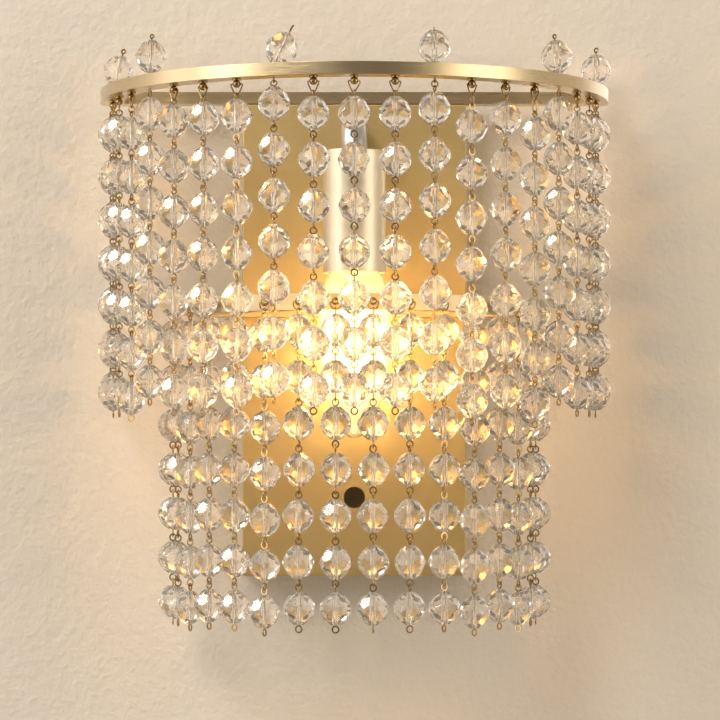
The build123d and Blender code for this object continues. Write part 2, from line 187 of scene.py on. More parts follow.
# %% Turn a profile and bend a wire
def turned(name, profile, centre, steps, smooth_angle=40):
    """Spins a profile of (radius, height) points in millimetres about an upright axis."""
    points = [Vector((radius * MM, 0, height * MM)) for radius, height in profile]
    bpy.ops.mesh.primitive_plane_add(size=MM, location=(0, 0, 0))
    piece = bpy.context.object
    edit_all(piece)
    bpy.ops.mesh.merge(type="CENTER")
    bpy.ops.mesh.select_all(action="SELECT")
    bpy.ops.transform.translate(value=points[0])
    for before, after in zip(points, points[1:]):
        bpy.ops.mesh.extrude_vertices_move(TRANSFORM_OT_translate={"value": after - before})
    bpy.ops.mesh.select_all(action="SELECT")
    bpy.ops.mesh.spin(steps=steps, angle=2 * math.pi, center=(0, 0, 0), axis=(0, 0, 1))
    bpy.ops.mesh.select_all(action="SELECT")
    bpy.ops.mesh.remove_doubles(threshold=seam)
    bpy.ops.object.mode_set(mode="OBJECT")
    piece.location = centre
    return settle(piece, name, smooth_angle)


def rod_along(name, kind, points, radius, sides):
    """A curve through points in metres with a round bevel. Gives back its object and its spline."""
    curve = bpy.data.curves.new(name, "CURVE")
    curve.dimensions = "3D"
    curve.bevel_depth = radius
    curve.bevel_resolution = sides
    curve.use_fill_caps = True
    spline = curve.splines.new(kind)
    spline.points.add(len(points) - 1)
    for point, place in zip(spline.points, points):
        point.co = (*place, 1)
    return set_down(name, curve), spline


def meshed(piece, name, smooth_angle):
    """Turns a curve into a settled mesh."""
    only(piece)
    bpy.ops.object.convert(target="MESH")
    return settle(bpy.context.object, name, smooth_angle)


def bent_wire(name, points, radius, closed=False):
    """A thin round wire through points in millimetres, smoothed at its bends."""
    route = [[number * MM for number in place] for place in points]
    piece, spline = rod_along(name, "NURBS", route, radius * MM, 1)
    spline.use_cyclic_u = closed
    spline.use_endpoint_u = not closed
    spline.order_u = 3
    spline.resolution_u = 3
    return meshed(piece, name, 60)


# %% [markdown]
# ## Writing finishes as sums
# A finish is a small graph of nodes. Typed as nodes it is long to read, so one class wraps a socket and
# lets it be added and multiplied like a number. A second one holds the material and adds any other node
# from its type, its settings and its inputs.

# %% Sockets as numbers, and a finish
class Value:
    """A number that changes over the surface."""

    def __init__(self, finish, socket):
        self.finish = finish
        self.socket = socket

    def _with(self, operation, other):
        node = self.finish.node("ShaderNodeMath", {"operation": operation}, {0: self, 1: other})
        return Value(self.finish, node.outputs[0])

    def __add__(self, other):
        return self._with("ADD", other)

    def __mul__(self, other):
        return self._with("MULTIPLY", other)


class Finish:
    """A material under construction."""

    def __init__(self, name):
        self.material = bpy.data.materials.new(name)
        self.material.use_nodes = True
        self.tree = self.material.node_tree
        self.tree.nodes.clear()
        self.output = self.tree.nodes.new("ShaderNodeOutputMaterial")
        self.place = self.node("ShaderNodeTexCoord").outputs["Object"]

    def node(self, kind, settings=None, sockets=None):
        """Adds a node, sets its settings first and then its sockets, each a value or a link."""
        node = self.tree.nodes.new(kind)
        for name, value in (settings or {}).items():
            setattr(node, name, value)
        for name, value in (sockets or {}).items():
            source = value.socket if isinstance(value, Value) else value
            if isinstance(source, bpy.types.NodeSocket):
                self.tree.links.new(source, node.inputs[name])
            else:
                node.inputs[name].default_value = source
        return node

    def noise(self, scale, stretch=(1, 1, 1), detail=3):
        """Cloudy noise from 0 to 1 on the piece's own coordinates, stretched along its axes."""
        mapping = self.node("ShaderNodeMapping", None, {"Vector": self.place, "Scale": stretch})
        noise = self.node(
            "ShaderNodeTexNoise", None,
            {"Vector": mapping.outputs[0], "Scale": scale, "Detail": detail, "Roughness": 0.55},
        )
        return Value(self, noise.outputs["Fac"])

    def blend(self, amount, first, second):
        """A colour between two colours of three channels."""
        mix = self.node(
            "ShaderNodeMix", {"data_type": "RGBA"}, {"Factor": amount, 6: (*first, 1), 7: (*second, 1)}
        )
        return mix.outputs[2]

    def bump(self, height, strength, distance):
        """The normal of a surface that is raised by a height from 0 to 1."""
        bump = self.node(
            "ShaderNodeBump", None, {"Height": height, "Strength": strength, "Distance": distance}
        )
        return bump.outputs[0]

    def surface(self, **sockets):
        """The principled shader, its socket names written with underscores for spaces."""
        named = {name.replace("_", " "): value for name, value in sockets.items()}
        shader = self.node("ShaderNodeBsdfPrincipled", None, named)
        self.show(shader.outputs[0])
        return shader

    def mixed(self, amount, first, second):
        """A shader between two shaders."""
        return self.node("ShaderNodeMixShader", None, {0: amount, 1: first, 2: second}).outputs[0]

    def show(self, shader):
        """Makes a shader the one that the surface has."""
        self.tree.links.new(shader, self.output.inputs["Surface"])


# %% [markdown]
# ## Brushed gold and the other metals
# The canopy and the rings are steel plated in pale gold and brushed. Brushing leaves fine parallel
# scratches: they spread the highlight sideways and make the shade uneven from place to place. Two
# noises do that, a long thin one for the scratches and a broad one for the slow drift of the tone.

# %% The metal finishes
def brushed_metal(name, light, dark, roughness, stretch, scratch_depth, coat=0.0):
    """Plated metal with scratches along one axis, from a lighter and a darker tone."""
    finish = Finish(name)
    scratches = finish.noise(60, stretch, 2)
    drift = finish.noise(14, detail=2)
    finish.surface(
        Base_Color=finish.blend(scratches * 0.6 + drift * 0.4, dark, light),
        Metallic=1.0,
        Roughness=scratches * 0.14 + drift * 0.08 + (roughness - 0.11),
        Normal=finish.bump(scratches, scratch_depth, 0.0003),
        Coat_Weight=coat,
        Coat_Roughness=0.3,
        Coat_IOR=1.7,
    )
    return finish.material


def smooth_metal(name, colour, roughness, tarnish=0.15):
    """Polished or plated metal whose shine is a little uneven."""
    finish = Finish(name)
    drift = finish.noise(180)
    darker = [channel * (1 - tarnish) for channel in colour]
    finish.surface(
        Base_Color=finish.blend(drift, darker, colour),
        Metallic=1.0,
        Roughness=drift * 0.12 + (roughness - 0.06),
        Normal=finish.bump(drift, 0.05, 0.0002),
    )
    return finish.material


canopy_gold = brushed_metal(
    "canopy_gold", (0.64, 0.49, 0.225), (0.54, 0.405, 0.175), 0.46, (3, 3, 60), 0.25, coat=0.2
)
ring_gold = brushed_metal(
    "ring_gold", (0.64, 0.50, 0.28), (0.52, 0.395, 0.215), 0.3, (1, 1, 60), 0.25, coat=1.0
)
champagne = brushed_metal(
    "champagne", (0.84, 0.765, 0.61), (0.76, 0.68, 0.52), 0.38, (1, 1, 40), 0.15
)
nickel = smooth_metal("nickel", (0.56, 0.54, 0.53), 0.34)
brass_wire = smooth_metal("brass_wire", (0.50, 0.35, 0.165), 0.2, 0.3)
stud_brass = smooth_metal("stud_brass", (0.46, 0.32, 0.14), 0.12, 0.35)
zinc = smooth_metal("zinc", (0.62, 0.62, 0.60), 0.42)
metals = (canopy_gold, ring_gold, champagne, nickel, brass_wire, stud_brass, zinc)
print("metals:", ", ".join(metal.name for metal in metals))

# %% [markdown]
# ## Crystal, bulb glass and the glowing filament
# Cut glass shows its facets only by bending light, so it needs a true refracting shader, a clean surface
# and bright lamps to reflect. Glass also casts a paler shadow than a solid thing, and the sampler can't
# find light through it. So for shadow rays it is swapped for a film: a dark one for the beads, because
# their curtain shades the wall, and a clear one for the bulb. The bulb's glass also carries a painted
# glow: it gives warm light of its own that fades out from a point near the rods.

# %% The glass and glow finishes
def clear_glass(name, tint, index, shadow_tint, roughness=0.0, clearness=0.0, body=0.0, painted_glow=None):
    """Refracting glass with the shadow of a tinted film, which may carry a painted glow of lamp light."""
    finish = Finish(name)
    shader = finish.surface(
        Base_Color=(*tint, 1), Roughness=roughness, IOR=index, Transmission_Weight=1.0 - body
    )
    # Painted glow: the glass itself gives warm light, strongest at one point and fading with distance, as
    # a halo round the filament.
    if painted_glow:
        mapping = finish.node(
            "ShaderNodeMapping", {"vector_type": "TEXTURE"},
            {"Vector": finish.place, "Location": painted_glow["centre"]},
        )
        far = finish.node("ShaderNodeVectorMath", {"operation": "LENGTH"}, {0: mapping.outputs[0]})
        distance = Value(finish, far.outputs["Value"]) * (1 / painted_glow["reach"])
        fall = finish.node(
            "ShaderNodeMath", {"operation": "EXPONENT"}, {0: distance * distance * -1.0}
        )
        hue = finish.blend(Value(finish, fall.outputs[0]), (0, 0, 0), painted_glow["colour"])
        finish.tree.links.new(hue, shader.inputs["Emission Color"])
        shader.inputs["Emission Strength"].default_value = painted_glow["strength"]
    clear = finish.node("ShaderNodeBsdfTransparent")
    seen = finish.mixed(clearness, shader.outputs[0], clear.outputs[0])
    film = finish.node("ShaderNodeBsdfTransparent", None, {"Color": (*shadow_tint, 1)})
    rays = finish.node("ShaderNodeLightPath")
    finish.show(finish.mixed(rays.outputs["Is Shadow Ray"], seen, film.outputs[0]))
    return finish.material


def glow(name, colour, strength):
    """A surface that gives light, hotter in some places than in others."""
    finish = Finish(name)
    heat = finish.noise(300, detail=2)
    paler = [min(1.0, channel * 1.25) for channel in colour]
    finish.surface(
        Base_Color=(*colour, 1),
        Roughness=0.6,
        Emission_Color=finish.blend(heat, colour, paler),
        Emission_Strength=strength,
    )
    return finish.material


def moulding(name, colour, roughness):
    """Moulded plastic or ceramic with a faint grain."""
    finish = Finish(name)
    grain = finish.noise(900, detail=2)
    darker = [channel * 0.93 for channel in colour]
    finish.surface(
        Base_Color=finish.blend(grain, darker, colour),
        Roughness=grain * 0.1 + roughness,
        Normal=finish.bump(grain, 0.08, 0.0002),
    )
    return finish.material


bead_shade = (0.14, 0.12, 0.09)
crystal = clear_glass("crystal", (1.0, 0.965, 0.915), 1.5, bead_shade, clearness=0.07, body=0.03)
bore_glass = clear_glass("bore_glass", (1.0, 0.98, 0.95), 1.5, bead_shade, roughness=0.2, body=0.22)
# The bulb's glass carries a painted glow centred near the glowing rods.
bulb_clear = clear_glass(
    "bulb_clear", (1.0, 0.995, 0.985), 1.45, (1.0, 0.99, 0.97),
    painted_glow={"centre": (0, -0.075, -0.003), "reach": 0.027, "colour": (1.0, 0.62, 0.25), "strength": 1.1},
)
filament_glow = glow("filament_glow", (1.0, 0.66, 0.28), 90)
porcelain = moulding("porcelain", (0.80, 0.77, 0.70), 0.3)
terminal_plastic = moulding("terminal_plastic", (0.80, 0.79, 0.74), 0.45)
others = (crystal, bore_glass, bulb_clear, filament_glow, porcelain, terminal_plastic)
print("glass, glow and mouldings:", ", ".join(other.name for other in others))

# %% [markdown]
# ## The canopy
# The canopy is a shallow pressed steel box with an open back: it covers the bracket and the wires on the
# wall. Its front edges are rounded by the press and catch a thin line of light. Three holes go through
# the front. A box is added at the measured size, its front edges are bevelled, the back face is taken
# off and the sheet is thickened inward. The holes are drilled last so that they cut the sheet square, and
# every sharp rim is then broken with a fine bevel.

# %% Build the canopy
canopy_low, canopy_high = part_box("canopy")
pressed_edge = {"offset": 1.3 * MM, "segments": 3, "profile": 0.6}
sheet = 1.2 * MM
bpy.ops.mesh.primitive_cube_add(
    size=1, location=(canopy_low + canopy_high) / 2, scale=canopy_high - canopy_low
)
canopy = bpy.context.object
only(canopy)
bpy.ops.object.transform_apply(**fully_in)
pick(canopy, "EDGE", lambda middle, _: middle.y < canopy_low.y + 1 * MM)
bpy.ops.mesh.bevel(**pressed_edge)
pick(canopy, "EDGE", lambda middle, along: abs(along.y) > 0.9 and abs(middle.x) > 50 * MM)
bpy.ops.mesh.bevel(**pressed_edge)
pick(canopy, "FACE", lambda middle, normal: normal.y > 0.9)
bpy.ops.mesh.delete(type="FACE")
bpy.ops.object.mode_set(mode="OBJECT")
apply_modifier(canopy, "SOLIDIFY", thickness=sheet, offset=-1)

# %% Drill the canopy's front
across_y = (math.pi / 2, 0, 0)
screw_hole_x, screw_hole_z, screw_hole_radius = 42 * MM, canopy_high.z - 47 * MM, 4 * MM
low_hole_z, low_hole_radius = canopy_low.z + 40 * MM, 5.4 * MM
for hole_x, hole_z, hole_radius in (
    (-screw_hole_x, screw_hole_z, screw_hole_radius), (screw_hole_x, screw_hole_z, screw_hole_radius),
    (0, low_hole_z, low_hole_radius),
):
    drill_through(canopy, 48, hole_radius, 10 * MM, (hole_x, canopy_low.y, hole_z), across_y)
apply_modifier(
    canopy, "BEVEL", width=0.15 * MM, segments=2, limit_method="ANGLE", angle_limit=math.radians(60)
)
settle(canopy, "canopy_shell")
fit_out(canopy, "root", "brushed_gold", canopy_gold, "canopy")

# %% [markdown]
# ## The two half-round rings
# Each ring is a flat bar bent to half a circle and welded to a straight bar at the back. The upper one
# lies on the canopy, the lower one is screwed to its front. The bar's section is drawn as a plane, spun
# through half a turn and joined to the straight bar. A fine bevel gives the edge that catches the light.

# %% Build the rings
def half_ring(name, node, bar, arc_y, corner):
    """A half-round flat bar with its straight bar at the back, from the measured box."""
    low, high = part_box(node)
    radius = high.x
    middle_z, height = (low.z + high.z) / 2, high.z - low.z
    bpy.ops.mesh.primitive_plane_add(size=1, location=(radius - bar / 2, arc_y, middle_z))
    ring = bpy.context.object
    ring.scale = (bar, height, 1)
    ring.rotation_euler = across_y
    only(ring)
    bpy.ops.object.transform_apply(**fully_in)
    edit_all(ring)
    bpy.ops.mesh.spin(steps=72, angle=math.pi, center=(0, arc_y, middle_z), axis=(0, 0, 1))
    bpy.ops.mesh.select_all(action="SELECT")
    bpy.ops.mesh.remove_doubles(threshold=seam)
    bpy.ops.mesh.normals_make_consistent(inside=False)
    bpy.ops.object.mode_set(mode="OBJECT")
    arc_front = min(vertex.co.y for vertex in ring.data.vertices)
    print(node, "front of the arc:", round(arc_front, 4), "box:", round(low.y, 4))
    bpy.ops.mesh.primitive_cube_add(
        size=1, location=(0, high.y - bar / 2, middle_z), scale=(2 * radius, bar, height)
    )
    rear = bpy.context.object
    only(rear)
    bpy.ops.object.transform_apply(**fully_in)
    pick(rear, "EDGE", lambda middle, along: abs(along.z) > 0.9 and middle.y > high.y - bar / 2)
    bpy.ops.mesh.bevel(offset=corner, segments=6)
    bpy.ops.object.mode_set(mode="OBJECT")
    apply_modifier(ring, "BOOLEAN", operation="UNION", object=rear, solver="EXACT")
    bpy.data.objects.remove(rear)
    edit_all(ring)
    bpy.ops.mesh.remove_doubles(threshold=0.01 * MM)
    bpy.ops.mesh.dissolve_limited(angle_limit=math.radians(0.5))
    bpy.ops.object.mode_set(mode="OBJECT")
    apply_modifier(
        ring, "BEVEL", width=0.45 * MM, segments=2, limit_method="ANGLE", angle_limit=math.radians(40)
    )
    settle(ring, name, 30)
    fit_out(ring, "root", "brushed_gold", ring_gold, node)


ring_bar = 12 * MM
half_ring("upper_ring_bar", "upper_ring", ring_bar, arc_y=-20 * MM, corner=4 * MM)
half_ring("lower_ring_bar", "lower_ring", ring_bar, arc_y=-27 * MM, corner=0.6 * MM)

# %% [markdown]
# ## Arm, cup and lampholder
# A bent tube comes out of the canopy near its top, turns down and carries the cup that hides the
# lampholder. The tube is a curve with a round bevel. Cup and holder are turned. The cup is a tube with a
# closed top, and its rim is rounded so that the lamp's light gives it a gold inner edge.

# %% Build the arm
arm_z = canopy_high.z - 16 * MM
arm_y = -75 * MM
arm_radius = 6.45 * MM
arm_inside_canopy = 9 * MM
cup_low, cup_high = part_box("socket_cup")
bend = 13 * MM
bend_steps = 12
arm_route = [(0, canopy_low.y + arm_inside_canopy, arm_z), (0, arm_y + bend, arm_z)]
for step in range(1, bend_steps):
    angle = math.radians(90 * step / bend_steps)
    arm_route.append((0, arm_y + bend - bend * math.sin(angle), cup_high.z + bend * math.cos(angle)))
arm_route.append((0, arm_y, cup_high.z))
arm_tube, _ = rod_along("arm_tube", "POLY", arm_route, arm_radius, 10)
arm_tube = meshed(arm_tube, "arm_tube", 40)
fit_out(arm_tube, "root", "nickel", nickel, "socket_arm")

# %% Turn the cup and the lampholder
cup_top, cup_mouth = cup_high.z / MM, cup_low.z / MM
cup_outside, cup_inside, cup_wall, spigot_hole = 15.5, 14.3, 1.2, 5.15
cup = turned(
    "lamp_cup",
    [(spigot_hole, cup_top), (14.9, cup_top), (15.35, cup_top - 0.2), (cup_outside, cup_top - 0.6),
     (cup_outside, cup_mouth + 0.35), (15.38, cup_mouth + 0.1), (15.1, cup_mouth), (14.6, cup_mouth),
     (14.38, cup_mouth + 0.1), (cup_inside, cup_mouth + 0.35), (cup_inside, cup_top - 1.4),
     (14.1, cup_top - cup_wall), (spigot_hole, cup_top - cup_wall), (spigot_hole, cup_top)],
    (0, arm_y, 0), 96,
)
fit_out(cup, "root", "satin_champagne", champagne, "socket_cup")

holder_low, holder_high = (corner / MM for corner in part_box("lampholder"))
holder_radius, groove_radius, mouth_radius = 11.95, 11.3, 7.4
groove_low, groove_high = 62, 66
floor_z = holder_low.z + 25
holder = turned(
    "lampholder_body",
    [(0, holder_high.z), (11.4, holder_high.z), (holder_radius, holder_high.z - 0.6),
     (holder_radius, groove_high), (groove_radius, groove_high - 0.6), (groove_radius, groove_low + 0.6),
     (holder_radius, groove_low), (holder_radius, holder_low.z + 0.5), (11.5, holder_low.z),
     (7.9, holder_low.z), (mouth_radius, holder_low.z + 0.5), (mouth_radius, floor_z), (0, floor_z)],
    (0, arm_y, 0), 64,
)
fit_out(holder, "root", "moulded_plastic", porcelain, "lampholder")
print("cup from", round(cup_mouth, 1), "to", round(cup_top, 1))
print("holder from", round(holder_low.z, 1), "to", round(holder_high.z, 1))

# %% [markdown]
# ## The candle bulb
# The glass is a thin blown candle shape, sealed to a metal cap whose thread screws into the holder. A
# glass stem hangs inside and carries four bright rods that lean outward. The glass is turned from a
# smooth profile and thickened inward to 0.8 mm, so that it refracts like a shell and not like a solid
# lens.

# %% Smooth a profile
def smooth_profile(rings, steps=6):
    """A smooth chain of points through a few (radius, height) rings."""
    ends = [rings[0], *rings, rings[-1]]
    chain = []
    for before, start, end, after in zip(ends, ends[1:], ends[2:], ends[3:]):
        for step in range(steps):
            t = step / steps
            chain.append(tuple(
                0.5 * (2 * b + (c - a) * t + (2 * a - 5 * b + 4 * c - d) * t ** 2
                       + (3 * b - a - 3 * c + d) * t ** 3)
                for a, b, c, d in zip(before, start, end, after)
            ))
    return [*chain, rings[-1]]


# %% Blow the bulb's glass
glass_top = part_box("bulb_glass")[1].z / MM
glass_wall = 0.8 * MM
glass_rings = [
    (8.3, 0), (10.6, 4.5), (14.4, 13), (17.3, 30), (17.15, 44), (14.7, 66), (10.5, 79), (5.4, 87),
    (2.2, 89.4), (0, 89.9),
]
glass_profile = smooth_profile([(radius, glass_top - drop) for radius, drop in glass_rings])
glass = turned("candle_glass", glass_profile, (0, arm_y, 0), 64, 60)
pick(glass, "EDGE", lambda middle, _: middle.z > (glass_top - 0.01) * MM)
bpy.ops.mesh.extrude_region_move()
bpy.ops.transform.resize(value=(0.72, 0.72, 1), center_override=(0, arm_y, glass_top * MM))
bpy.ops.object.mode_set(mode="OBJECT")
apply_modifier(glass, "SOLIDIFY", thickness=glass_wall, offset=-1)
settle(glass, "candle_glass", 60)
fit_out(glass, "bulb", "bulb_glass", bulb_clear, "bulb_glass")
glass.visible_shadow = False

# %% Turn the stem and the cap
stem_low, stem_high = (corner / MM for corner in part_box("bulb_stem"))
stem = turned(
    "glass_stem",
    [(0, stem_high.z), (5.4, stem_high.z), (5.1, stem_high.z - 1.5), (4.0, stem_high.z - 8),
     (2.6, stem_high.z - 12), (1.6, stem_high.z - 17), (1.2, stem_high.z - 22), (1.2, stem_low.z + 1),
     (0.8, stem_low.z + 0.2), (0, stem_low.z)],
    (0, arm_y, 0), 24, 50,
)
fit_out(stem, "bulb", "bulb_glass", bulb_clear, "bulb_stem")
stem.visible_shadow = False

base_low, base_high = (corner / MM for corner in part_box("bulb_base"))
thread_pitch = 2.6
thread = []
for ridge in range(6):
    start = base_low.z + 3 + ridge * thread_pitch
    thread += [(6.1, start), (6.3, start + 0.5), (6.7, start + 1.3), (6.3, start + 2.1)]
base = turned(
    "bulb_cap",
    [(0, base_low.z + 0.05), (6.6, base_low.z + 0.05), (6.6, base_low.z + 2), *thread,
     (6.1, base_low.z + 19), (4.5, base_high.z - 2), (2.9, base_high.z - 1.2), (2.6, base_high.z - 0.3),
     (1.6, base_high.z), (0, base_high.z)],
    (0, arm_y, 0), 40, 50,
)
fit_out(base, "bulb", "nickel", nickel, "bulb_base")

# %% Build the glowing rods
rods_low, rods_high = (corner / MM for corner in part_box("bulb_filaments"))
foot_radius, top_radius, rod_radius = 2.2, 6.3, 0.5
rod_length = rods_high.z - rods_low.z
lean = math.atan2(top_radius - foot_radius, rod_length)
bpy.ops.mesh.primitive_cylinder_add(
    vertices=12, radius=rod_radius * MM, depth=(rod_length - 1) * MM
)
rod = bpy.context.object
apply_modifier(rod, "BEVEL", width=0.25 * MM, segments=2, limit_method="ANGLE")
rods = []
for number in range(4):
    place = (
        Matrix.Translation((0, arm_y, (rods_low.z + rods_high.z) / 2 * MM))
        @ Matrix.Rotation(math.radians(45 + 90 * number), 4, "Z")
        @ Matrix.Translation(((foot_radius + top_radius) / 2 * MM, 0, 0))
        @ Matrix.Rotation(lean, 4, "Y")
    )
    rods.append(copy_of(rod, place))
bpy.data.objects.remove(rod)
rods = settle(joined(rods, "filament_rods"), "filament_rods", 40)
fit_out(rods, "bulb", "filament", filament_glow, "bulb_filaments")

# %% [markdown]
# ## Cut glass beads
# Every bead is a 16 mm ball cut flat all over and drilled from top to bottom. A cutter grinds one row of
# facets after another, each row at its own angle and turned half a step from the last. The model is made
# the same way: a block is sliced by the plane of every facet and what lies outside falls away. The drilled
# bore is left matt by the drill, and that is the white streak down the middle of each bead.

# %% Cut one bead
bead_height = 16
bore_radius = 0.95
facet_rows = (  # the slope of a row, its distance from the middle and the turn of its first facet
    (0, 7.35, 22.5), (0, 7.6, 0), (27, 7.05, 0), (-27, 7.05, 0), (51, 7.55, 22.5), (-51, 7.55, 22.5)
)
facets_in_row = 8
bpy.ops.mesh.primitive_cube_add(size=bead_height * MM)
bead = bpy.context.object
edit_all(bead)
for slope, distance, first in facet_rows:
    for step in range(facets_in_row):
        turn, rise = math.radians(first + 360 / facets_in_row * step), math.radians(slope)
        facing = Vector((math.cos(turn) * math.cos(rise), math.sin(turn) * math.cos(rise), math.sin(rise)))
        bpy.ops.mesh.select_all(action="SELECT")
        bpy.ops.mesh.bisect(
            plane_co=facing * distance * MM, plane_no=facing, use_fill=True, clear_outer=True,
            threshold=0.000001,
        )
bpy.ops.object.mode_set(mode="OBJECT")
bead.data.materials.append(crystal)
drill_through(bead, 10, bore_radius * MM, 20 * MM, bore_finish=bore_glass)
settle(bead, "bead", None)
print("bead faces:", len(bead.data.polygons), "size:", [round(side / MM, 1) for side in bead.dimensions])

# %% [markdown]
# ## Wire links
# A pin runs through each bead and ends in a loop above and below. Neighbouring loops are hooked through
# each other at right angles, which is why a strand can bend at every gap. One loop and one pin are
# modelled, and every strand is put together from copies at its own heights.

# %% Bend one loop and one pin
wire = 0.4
loop_radius, eye_radius, eye_wire = 1.55, 0.95, 0.35
across_x = (0, math.pi / 2, 0)


def bent_loop(name, radius, thickness, turn):
    """A closed loop of wire with its sizes in millimetres, turned to stand upright."""
    bpy.ops.mesh.primitive_torus_add(
        major_segments=14, minor_segments=6, major_radius=radius * MM, minor_radius=thickness * MM,
        rotation=turn,
    )
    return settle(bpy.context.object, name, 60)


loop_model = bent_loop("loop", loop_radius, wire, across_y)
eye_model = bent_loop("eye", eye_radius, eye_wire, across_x)
bpy.ops.mesh.primitive_cylinder_add(vertices=6, radius=wire * MM, depth=1 * MM)
pin_model = settle(bpy.context.object, "pin", 60)
print("loop and pin:", len(loop_model.data.polygons), len(pin_model.data.polygons), "faces")


def loop_at(top, bottom, across):
    """A loop whose wire runs from one height to another, facing front or turned across."""
    height = (top - bottom) / 2
    place = Matrix.Translation((0, 0, (top + bottom) / 2 * MM))
    place @= Matrix.Rotation(math.pi / 2 if across else 0, 4, "Z")
    return copy_of(loop_model, place @ Matrix.Diagonal((1, 1, height / loop_radius, 1)))


# %% Bend the bails
bail_wire = 0.34
wide_bail = bent_wire(
    "wide_bail",
    [(-2.7, 0, 0), (2.7, 0, 0), (3.05, 0, -0.5), (0.95, 0, -4.9), (0, 0, -5.35), (-0.95, 0, -4.9),
     (-3.05, 0, -0.5)],
    bail_wire, closed=True,
)
round_bail = bent_wire(
    "round_bail",
    [(-2.5, 0, 0), (2.5, 0, 0), (2.9, 0, -0.9), (2.1, 0, -3.3), (0, 0, -4.3), (-2.1, 0, -3.3),
     (-2.9, 0, -0.9)],
    bail_wire, closed=True,
)
for bail in (wide_bail, round_bail):
    print(bail.name, "lowest", round(min(v.co.z for v in bail.data.vertices) / MM, 2))

# %% [markdown]
# ## The strands
# Seven beads hang in each strand. The pivot of a strand is its hinge in the measured frame, and the
# strand's own box says how low it hangs, so the first bead's height follows. A few strands hang a little
# lower than their neighbours, and there an oval ring fills the gap. Threaded beads never sit exactly
# alike: each is turned by its own amount and leans a degree or two on its pin. The bails lean as well.

# %% Find the hinges
def hinge_turn(node):
    """How far a strand's hinge is turned about the upright axis."""
    axis = joints[f"{node}_swing"]["axis"]
    return math.atan2(-axis[1], -axis[0])


def hinge_place(node):
    """The matrix of a strand's hinge: its pivot, turned to face outward."""
    pivot = joints[f"{node}_swing"]["pos_m"]
    return Matrix.Translation(pivot) @ Matrix.Rotation(hinge_turn(node), 4, "Z")


def play(amount, axis):
    """A turn about one axis by a random angle, up to an amount in degrees either way."""
    return Matrix.Rotation(math.radians(chance.uniform(-amount, amount)), 4, axis)


# %% Thread the strands
pinned_strands = (1, 5, 9, 13, 17, 21)
beads_in_strand = 7
end_loop = 4
overlap = 0.6  # how far each of two hooked loops reaches past the middle of the gap
nip = 0.35  # how far the end of a loop lies from its bead
facet_turn = -121.5
facet_play = 13
chance = random.Random(7)


def thread_strand(node, pitch, drop, bail):
    """Builds the beads and the wires of one strand under its hinge."""
    place = hinge_place(node)
    turn = hinge_turn(node)
    gap = pitch - bead_height
    has_bail = bail is not None
    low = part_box(node)[0].z / MM
    pivot_z = joints[f"{node}_swing"]["pos_m"][2] / MM
    first_top = low + end_loop + (beads_in_strand - 1) * pitch + bead_height - pivot_z
    hangs_lower = -first_top - drop > 0.5
    beads, wires = [], []
    if has_bail:
        wires.append(copy_of(bail, play(14, "Z") @ play(5, "Y")))
    if hangs_lower:
        wires.append(loop_at(2.95 - drop if has_bail else 0, first_top + 2.2, has_bail))
    loop_top = first_top + 2.95 if has_bail or hangs_lower else min(0, first_top + 2.95)
    across = has_bail != hangs_lower
    wires.append(loop_at(loop_top, first_top + nip, across))
    across = not across
    for number in range(beads_in_strand):
        top = first_top - number * pitch
        bottom = top - bead_height
        tilt = play(1.6, "X") @ play(1.6, "Y")
        spin = Matrix.Rotation(math.radians(chance.gauss(facet_turn, facet_play)) - turn, 4, "Z")
        aside = Matrix.Translation((chance.uniform(-0.3, 0.3) * MM, 0, (top - bead_height / 2) * MM))
        beads.append(copy_of(bead, aside @ tilt @ spin))
        pin = Matrix.Diagonal((0.7, 0.7, bead_height + 0.6, 1))
        wires.append(copy_of(pin_model, aside @ tilt @ pin))
        if number < beads_in_strand - 1:
            middle = bottom - gap / 2
            wires.append(loop_at(bottom - nip, middle - overlap, across))
            wires.append(loop_at(middle + overlap, bottom - gap + nip, not across))
            across = across if chance.random() < 0.5 else not across
        else:
            wires.append(loop_at(bottom - nip, bottom - end_loop + 0.4, across))
    for pieces, part_name, slot, finish in (
        (beads, "beads", "crystal", None), (wires, "wires", "crystal", brass_wire)
    ):
        piece = joined(pieces, f"{node}_{part_name}")
        piece.data.transform(place)
        only(piece)
        if part_name == "beads":
            bpy.ops.object.shade_flat()
        fit_out(piece, node, slot, finish, node)


upper_names = {number: f"upper_strand_{number:02d}" for number in range(1, 22)}
lower_names = {number: f"lower_strand_{number:02d}" for number in range(1, 17)}
for number, node in upper_names.items():
    if number in pinned_strands:
        thread_strand(node, pitch=21.7, drop=2.8, bail=None)
    else:
        thread_strand(node, pitch=21.7, drop=7.3, bail=wide_bail)
for node in lower_names.values():
    thread_strand(node, pitch=22.2, drop=6, bail=round_bail)

# %% [markdown]
# ## Studs and finials
# Small drilled balls hold the bails: under the upper ring each sits against a thin disc, on the front of
# the lower ring each stands on a short neck. Every fourth strand of the upper ring hangs on a pin
# instead. It goes up through the bar and carries one more bead on top. Its end is curled, straight or
# cut short.

# %% Turn the studs
stud_radius, stud_hole_radius = 1.95, 0.72
disc_radius, disc_height = 2.1, 0.9
neck_radius, neck_length = 0.9, 1.7


def drilled_ball():
    """A ball with a hole straight through it, lying along the bail's bar."""
    bpy.ops.mesh.primitive_uv_sphere_add(segments=20, ring_count=12, radius=stud_radius * MM)
    ball = bpy.context.object
    drill_through(ball, 12, stud_hole_radius * MM, 6 * MM, turn=across_x)
    return ball


